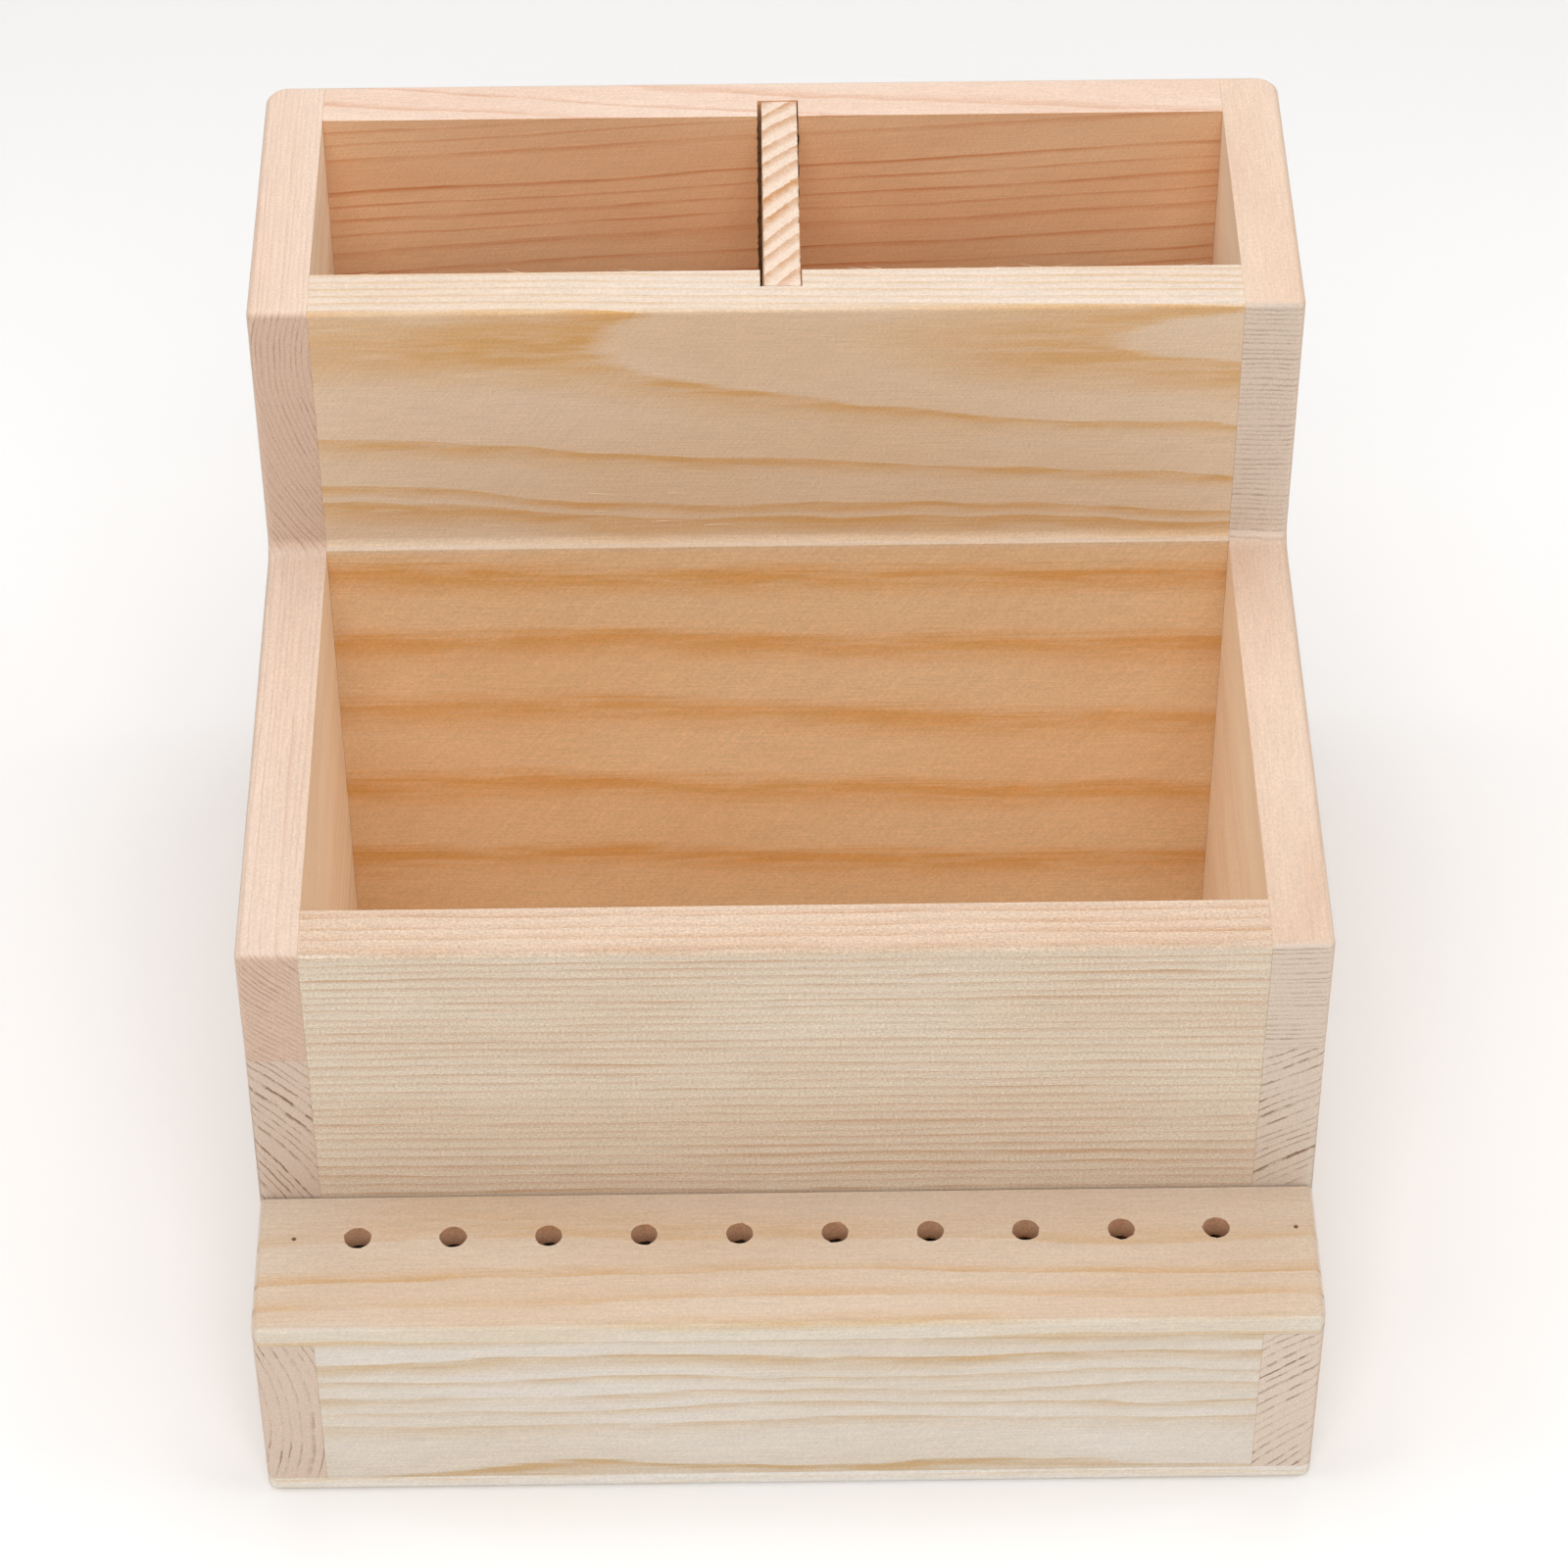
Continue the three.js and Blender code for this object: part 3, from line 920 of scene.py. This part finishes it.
def hole_cutter(x, y, low, high, radius, chance):
    """A drill that leaves a slightly chipped lip at the top and bottom of its hole."""
    bm = bmesh.new()
    bmesh.ops.create_cone(
        bm,
        cap_ends=True,
        segments=56,
        radius1=radius,
        radius2=radius,
        depth=high - low + 2 * DRILL_OVERRUN,
        matrix=Matrix.Translation((x, y, (low + high) / 2)),
    )
    for level in (low, low + LIP_DEPTH, high - LIP_DEPTH, high, high + LIP_SPILL, low - LIP_SPILL):
        everything = bm.verts[:] + bm.edges[:] + bm.faces[:]
        bmesh.ops.bisect_plane(bm, geom=everything, plane_co=(0, 0, level), plane_no=(0, 0, 1))
    chips = [
        (chance.uniform(0, math.tau), chance.uniform(0.08, 0.25), chance.uniform(0.05, 0.3))
        for _ in range(CHIPS)
    ]
    for vert in bm.verts:
        if not any(near(vert.co.z, level) for level in (low - LIP_SPILL, low, high, high + LIP_SPILL)):
            continue
        around = math.atan2(vert.co.y - y, vert.co.x - x)
        spread = 0.01
        for angle, width, depth in chips:
            apart = abs((around - angle + math.pi) % math.tau - math.pi)
            spread += depth * math.exp(-((apart / width) ** 2)) * 0.6
        outward = Vector((vert.co.x - x, vert.co.y - y, 0)).normalized()
        vert.co += outward * spread * MM
    return bm


class CADDY_OT_tool_shelf(bpy.types.Operator):
    """Build the thin drilled shelf over the low tier"""

    bl_idname = "caddy.tool_shelf"
    bl_label = "Tool shelf"

    def execute(self, context):
        size = sizes()
        low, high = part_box("tool_shelf")
        wall = edge("low_front_panel", 1, 1)
        row = (wall + high.y) / 2
        rear = high.y - size.seam
        outline = [(low.y, low.z), (rear, low.z), (rear, high.z), (low.y, high.z)]
        bm = prism(outline, X, low.x, high.x)
        corners = [(low.x, low.y, size.front_corner), (high.x, low.y, size.front_corner)]
        sand(bm, [(1, rear), (2, low.z)], corners)
        chance = random.Random(11)
        cutters = [pin_cutter(n) for n in pins_near("shelf")]
        for i in range(size.hole_count):
            x = (i - (size.hole_count - 1) / 2) * size.hole_pitch
            cutters.append(hole_cutter(x, row, low.z, high.z, size.hole_radius, chance))
        material = sanded_pine(
            "sanded_pine_shelf",
            grain="X",
            pith=(0, -60, -14),
            # The top's darker early wood is painted shade on the low tier; the front face takes a paler
            # colour of its own
            early=linear("#d6c2ae"),
            stain=colours().ochre,
            other_faces=[(-Y, linear("#e9dece"))],
            ring=4.6,
            late=0.3,
            contrast=0.85,
            waver=8,
            seed=61.0,
        )
        drilled = sanded_pine(
            "drilled_pine",
            grain="X",
            pith=(0, -60, -14),
            early=linear("#dcb190"),
            stain=colours().ochre,
            end_colour=linear("#d2aa8c"),
            ring=4.6,
            fuzz=2.0,
            seed=61.0,
        )
        reach = size.hole_radius * 1.2

        def in_hole(face):
            in_row = abs(face.center.y - row) < reach and abs(face.center.x) < high.x - 3 * MM
            return in_row and abs(face.normal.z) < 0.7

        finish_piece(
            "tool_shelf_drilled", bm, material, "caddy", ["tool_shelf"], cutters, (drilled, in_hole)
        )
        return {"FINISHED"}


class CADDY_OT_base_board(bpy.types.Operator):
    """Build the thin base board with its rounded lower edges"""

    bl_idname = "caddy.base_board"
    bl_label = "Base board"

    def execute(self, context):
        size = sizes()
        low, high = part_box("base_board")
        outline = [(low.x, low.y), (high.x, low.y), (high.x, high.y), (low.x, high.y)]
        bm = prism(outline, Z, low.z, high.z)
        for x in (low.x, high.x):
            round_edges(bm, corner_edges(bm, x, low.y), size.front_corner, 8)
            round_edges(bm, corner_edges(bm, x, high.y), size.rear_corner, 8)
        bm.normal_update()
        sharp = [e for e in bm.edges if e.calc_face_angle(0) > math.radians(50)]
        under = [e for e in sharp if all(near(v.co.z, low.z) for v in e.verts)]
        round_edges(bm, under, size.underside, 5)
        bm.normal_update()
        sharp = [e for e in bm.edges if e.calc_face_angle(0) > math.radians(50)]
        round_edges(bm, sharp, size.arris, 2)
        material = sanded_pine(
            "sanded_pine_base",
            grain="X",
            pith=(0, -60, -40),
            early=linear("#f4ede4"),
            stain=colours().ochre,
            end_contrast=0.4,
            ring=2.6,
            late=0.28,
            contrast=0.45,
            waver=9,
            seed=71.0,
        )
        cutters = [pin_cutter(n) for n in pins_near("base")]
        finish_piece("base_board_sanded", bm, material, "caddy", ["base_board"], cutters)
        return {"FINISHED"}


SAWN_EDGE = 0.18 * MM  # rounding of the divider's edges, which aren't sanded
SAWN_CHIPS = 0.3 * MM  # the deepest chip in them
SAWN_STEPS = (6, 70, 40)  # how many places along X, Y and Z can be chipped


class CADDY_OT_divider(bpy.types.Operator):
    """Build the loose divider that lifts out of its grooves"""

    bl_idname = "caddy.divider"
    bl_label = "Divider"

    def execute(self, context):
        low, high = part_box("divider")
        outline = [(low.x, low.y), (high.x, low.y), (high.x, high.y), (low.x, high.y)]
        bm = prism(outline, Z, low.z, high.z)
        round_edges(bm, bm.edges[:], SAWN_EDGE, 2)
        for axis, count in enumerate(SAWN_STEPS):
            for i in range(1, count):
                place = low.lerp(high, i / count)
                everything = bm.verts[:] + bm.edges[:] + bm.faces[:]
                bmesh.ops.bisect_plane(bm, geom=everything, plane_co=place, plane_no=(X, Y, Z)[axis])
        chance = random.Random(17)
        middle = (low + high) / 2
        for vert in bm.verts:
            gaps = [min(vert.co[i] - low[i], high[i] - vert.co[i]) for i in range(3)]
            if sum(gap < SAWN_EDGE + SAME_PLACE for gap in gaps) > 1:
                inward = Vector((middle.x - vert.co.x, 0, 0)).normalized()
                vert.co += (inward - Z * (vert.co.z > middle.z)) * chance.random() ** 3 * SAWN_CHIPS
        material = sanded_pine(
            "sawn_pine_divider",
            grain="Z",
            pith=(120, -50, 0),
            early=linear("#f2dcc0"),
            stain=linear("#e3b98a"),
            end_colour=linear("#dfc9b6"),
            end_line=linear("#bf8b5e"),
            end_late=0.46,
            end_contrast=1.1,
            end_breaks=0.15,
            unevenness=0.5,
            ring=3.9,
            late=0.34,
            contrast=1.0,
            waver=3,
            seed=83.0,
        )
        finish_piece("divider_board", bm, material, "divider", ["divider"])
        return {"FINISHED"}


class CADDY_OT_pins(bpy.types.Operator):
    """Give every wire pin its steel"""

    bl_idname = "caddy.pins"
    bl_label = "Pins"

    def execute(self, context):
        wire = drawn_wire()
        for name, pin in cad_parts.items():
            if "_pin" in name:
                pin.data.materials.clear()
                pin.data.materials.append(wire)
        return {"FINISHED"}


# ---------------------------------------------------------------- studio

FLOOR_HALF_WIDTH = 6
ROOM_LIGHT = 0.3
LAMPS = {  # where each soft box hangs, its width and its power
    "overhead_softbox": ((0.0, 0.12, 0.74), 0.6, 2.6),
    "front_softbox": ((0.0, -1.0, 1.2), 0.9, 8.4),
    "left_softbox": ((-1.2, -0.1, 0.9), 0.9, 4.4),
    "right_softbox": ((1.2, -0.1, 0.9), 0.9, 4.4),
}
LAMPS_AIM = (0, 0, 0.08)
CAMERA_PLACE = (-0.00606, -0.7286, 0.7967)
CAMERA_TURN = (45.623, 0.2225, -0.7435)  # degrees
SENSOR_WIDTH = 36  # mm
LENS = 119.7  # mm


class CADDY_OT_stage(bpy.types.Operator):
    """Set out the floor, the soft lights and the camera"""

    bl_idname = "caddy.stage"
    bl_label = "Stage"

    def execute(self, context):
        scene = context.scene
        scene.view_settings.view_transform = "Standard"
        scene.view_settings.look = "None"

        bm = bmesh.new()
        bmesh.ops.create_grid(bm, x_segments=1, y_segments=1, size=FLOOR_HALF_WIDTH)
        mesh = bpy.data.meshes.new("floor")
        bm.to_mesh(mesh)
        bm.free()
        floor = bpy.data.objects.new("floor", mesh)
        scene.collection.objects.link(floor)
        paint = bpy.data.materials.new("matt_white_paint")
        paint.use_nodes = True
        shader = paint.node_tree.nodes["Principled BSDF"]
        shader.inputs["Base Color"].default_value = colours().floor
        shader.inputs["Roughness"].default_value = 0.9
        shader.inputs["Specular IOR Level"].default_value = 0.1
        mesh.materials.append(paint)

        world = bpy.data.worlds.new("soft_room")
        scene.world = world
        world.use_nodes = True
        sky = world.node_tree.nodes["Background"]
        sky.inputs["Color"].default_value = (1, 1, 1, 1)
        sky.inputs["Strength"].default_value = ROOM_LIGHT

        for name, (place, width, power) in LAMPS.items():
            light = bpy.data.lights.new(name, "AREA")
            light.shape = "SQUARE"
            light.size = width
            light.energy = power
            lamp = bpy.data.objects.new(name, light)
            lamp.location = place
            lamp.rotation_euler = (Vector(LAMPS_AIM) - Vector(place)).to_track_quat("-Z", "Y").to_euler()
            scene.collection.objects.link(lamp)

        lens = bpy.data.cameras.new("camera")
        lens.sensor_width = SENSOR_WIDTH
        lens.lens = LENS
        lens.clip_start = 0.05
        camera = bpy.data.objects.new("camera", lens)
        camera.location = CAMERA_PLACE
        camera.rotation_euler = [math.radians(angle) for angle in CAMERA_TURN]
        scene.collection.objects.link(camera)
        scene.camera = camera
        return {"FINISHED"}


class CADDY_PT_parts(bpy.types.Panel):
    """Lists the caddy's settings and the operators that build it"""

    bl_idname = "CADDY_PT_parts"
    bl_label = "Tool Caddy"
    bl_space_type = "VIEW_3D"
    bl_region_type = "UI"
    bl_category = "Tool Caddy"

    def draw(self, context):
        layout = self.layout
        for group in (context.scene.caddy_sizes, context.scene.caddy_colours):
            box = layout.box()
            for key in group.bl_rna.properties.keys():
                if key not in ("rna_type", "name"):
                    box.prop(group, key)
        for operator in OPERATORS:
            layout.operator(operator.bl_idname)


OPERATORS = (
    CADDY_OT_side_panels,
    CADDY_OT_front_panels,
    CADDY_OT_rear_panels,
    CADDY_OT_stray_fibres,
    CADDY_OT_tool_shelf,
    CADDY_OT_base_board,
    CADDY_OT_divider,
    CADDY_OT_pins,
    CADDY_OT_stage,
)
CLASSES = (CaddySizes, CaddyColours) + OPERATORS + (CADDY_PT_parts,)


def register():
    for item in CLASSES:
        bpy.utils.register_class(item)
    bpy.types.Scene.caddy_sizes = PointerProperty(type=CaddySizes)
    bpy.types.Scene.caddy_colours = PointerProperty(type=CaddyColours)


def unregister():
    del bpy.types.Scene.caddy_colours
    del bpy.types.Scene.caddy_sizes
    for item in reversed(CLASSES):
        bpy.utils.unregister_class(item)


def main():
    register()
    bpy.ops.caddy.side_panels()
    bpy.ops.caddy.front_panels()
    bpy.ops.caddy.rear_panels()
    bpy.ops.caddy.stray_fibres()
    bpy.ops.caddy.tool_shelf()
    bpy.ops.caddy.base_board()
    bpy.ops.caddy.divider()
    bpy.ops.caddy.pins()
    bpy.ops.caddy.stage()


if __name__ == "__main__":
    main()
